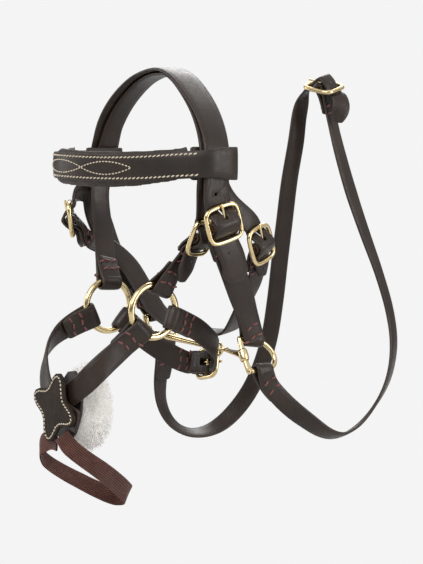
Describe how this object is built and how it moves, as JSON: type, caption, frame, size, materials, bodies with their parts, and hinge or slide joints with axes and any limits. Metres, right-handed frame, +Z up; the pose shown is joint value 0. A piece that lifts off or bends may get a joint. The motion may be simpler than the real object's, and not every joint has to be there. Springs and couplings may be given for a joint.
{
  "type": "bridle with crossed noseband",
  "caption": "Leather bridle with padded browband, crossed noseband with fleece pad and elastic chin loop, jointed dee bit, throatlash and buckled reins.",
  "frame": {"origin": "middle of the underside of the noseband's headstrap at the poll, where the straps rest on the head", "axes": "+Z up towards the poll, -Y forwards to the forehead and nose, +X towards the near side that carries the cheek buckle"},
  "size_m": [0.1269, 0.1901, 0.2194],
  "materials": {
    "leather": "satin dark brown, edge dyed",
    "lining": "matt dark brown flesh side",
    "brass": "polished",
    "webbing": "ribbed elastic",
    "fleece": "deep pile"
  },
  "bodies": {
    "headpiece": {"crown_strap": "leather", "noseband_headstrap": "leather", "noseband_cheek_near": "leather", "cheek_strap_near": "leather", "throatlash": "leather", "cheek_buckle_frame": "brass", "throat_near_buckle_frame": "brass", "throat_far_buckle_frame": "brass", "noseband_buckle_frame": "brass", "bit_ring_near": "brass", "bit_ring_far": "brass"},
    "browband": {"browband_strip": "leather", "browband_pad": "lining"},
    "ring_near": {"ring_near": "brass"},
    "ring_far": {"ring_far": "brass"},
    "nose_piece": {"nose_strap_near": "leather", "nose_strap_far": "leather", "cross_patch": "leather", "cross_backing": "lining", "fleece_pad": "fleece"},
    "chin_elastic": {"elastic_chin_loop": "webbing"},
    "jaw_strap": {"jaw_strap_near": "leather", "jaw_strap_far": "leather", "jaw_buckle_frame": "brass"},
    "bit_arm_near": {"bit_arm_near": "brass"},
    "bit_arm_far": {"bit_arm_far": "brass"},
    "reins": {"rein_near": "leather", "rein_far": "leather", "rein_buckle_frame": "brass"},
    "cheek_tongue": {"cheek_buckle_tongue": "brass"},
    "throat_near_tongue": {"throat_near_buckle_tongue": "brass"},
    "throat_far_tongue": {"throat_far_buckle_tongue": "brass"},
    "noseband_tongue": {"noseband_buckle_tongue": "brass"},
    "jaw_tongue": {"jaw_buckle_tongue": "brass"},
    "rein_tongue": {"rein_buckle_tongue": "brass"}
  },
  "joints": [
    {"name": "cheek_tongue_pivot", "type": "hinge", "parent": "headpiece", "child": "cheek_tongue", "pos_m": [0.056, -0.0053, -0.07235], "axis": [0.0478, 0.9566, 0.2875], "range_deg": [0, 14]},
    {"name": "throat_near_tongue_pivot", "type": "hinge", "parent": "headpiece", "child": "throat_near_tongue", "pos_m": [0.054, 0.0182, -0.08285], "axis": [-0.1856, 0.9095, 0.372], "range_deg": [0, 14]},
    {"name": "throat_far_tongue_pivot", "type": "hinge", "parent": "headpiece", "child": "throat_far_tongue", "pos_m": [-0.0575, -0.0224, -0.07265], "axis": [0.8137, -0.5656, -0.1339], "range_deg": [0, 14]},
    {"name": "noseband_tongue_pivot", "type": "hinge", "parent": "headpiece", "child": "noseband_tongue", "pos_m": [0.04, -0.0075, -0.07965], "axis": [-0.2863, 0.957, -0.0471], "range_deg": [0, 14]},
    {"name": "jaw_tongue_pivot", "type": "hinge", "parent": "jaw_strap", "child": "jaw_tongue", "pos_m": [-0.002, 0.0255, -0.14615], "axis": [-0.1957, 0.247, 0.949], "range_deg": [0, 14]},
    {"name": "rein_tongue_pivot", "type": "hinge", "parent": "reins", "child": "rein_tongue", "pos_m": [0, 0.0996, -0.00345], "axis": [-0.2287, 0.9361, 0.2673], "range_deg": [0, 14]},
    {"name": "ring_turn_near", "type": "hinge", "parent": "headpiece", "child": "ring_near", "pos_m": [0.021, -0.0225, -0.11565], "axis": [1, 0, 0], "continuous": true},
    {"name": "ring_turn_far", "type": "hinge", "parent": "headpiece", "child": "ring_far", "pos_m": [-0.021, -0.0225, -0.11565], "axis": [1, 0, 0], "continuous": true},
    {"name": "nose_piece_swing", "type": "hinge", "parent": "headpiece", "child": "nose_piece", "pos_m": [0, -0.0225, -0.11565], "axis": [1, 0, 0], "range_deg": [-8, 8]},
    {"name": "chin_elastic_swing", "type": "hinge", "parent": "nose_piece", "child": "chin_elastic", "pos_m": [0, -0.067, -0.17565], "axis": [1, 0, 0], "range_deg": [-2, 6]},
    {"name": "jaw_strap_swing", "type": "hinge", "parent": "headpiece", "child": "jaw_strap", "pos_m": [0, -0.0225, -0.11565], "axis": [1, 0, 0], "range_deg": [-6, 0]},
    {"name": "browband_slide", "type": "slide", "parent": "headpiece", "child": "browband", "axis": [0, 0, 1], "range_m": [-0.002, 0]},
    {"name": "bit_arm_near_yaw", "type": "hinge", "parent": "headpiece", "child": "bit_arm_near", "pos_m": [0.043, 0.0157, -0.13765], "axis": [0.45, 0, -0.893], "range_deg": [-1.2, 1.2]},
    {"name": "bit_arm_far_yaw", "type": "hinge", "parent": "headpiece", "child": "bit_arm_far", "pos_m": [-0.0385, 0.013, -0.13265], "axis": [0, 0.29, -0.957], "range_deg": [-1.2, 1.2]},
    {"name": "reins_swing", "type": "hinge", "parent": "headpiece", "child": "reins", "pos_m": [0.00419, 0.02411, -0.14186], "axis": [0.9967, 0.0067, -0.0814], "range_deg": [-1.5, 3.2]}
  ],
  "couplings": [
    {"joint": "bit_arm_far_yaw", "follows": "bit_arm_near_yaw", "ratio": -1}
  ]
}
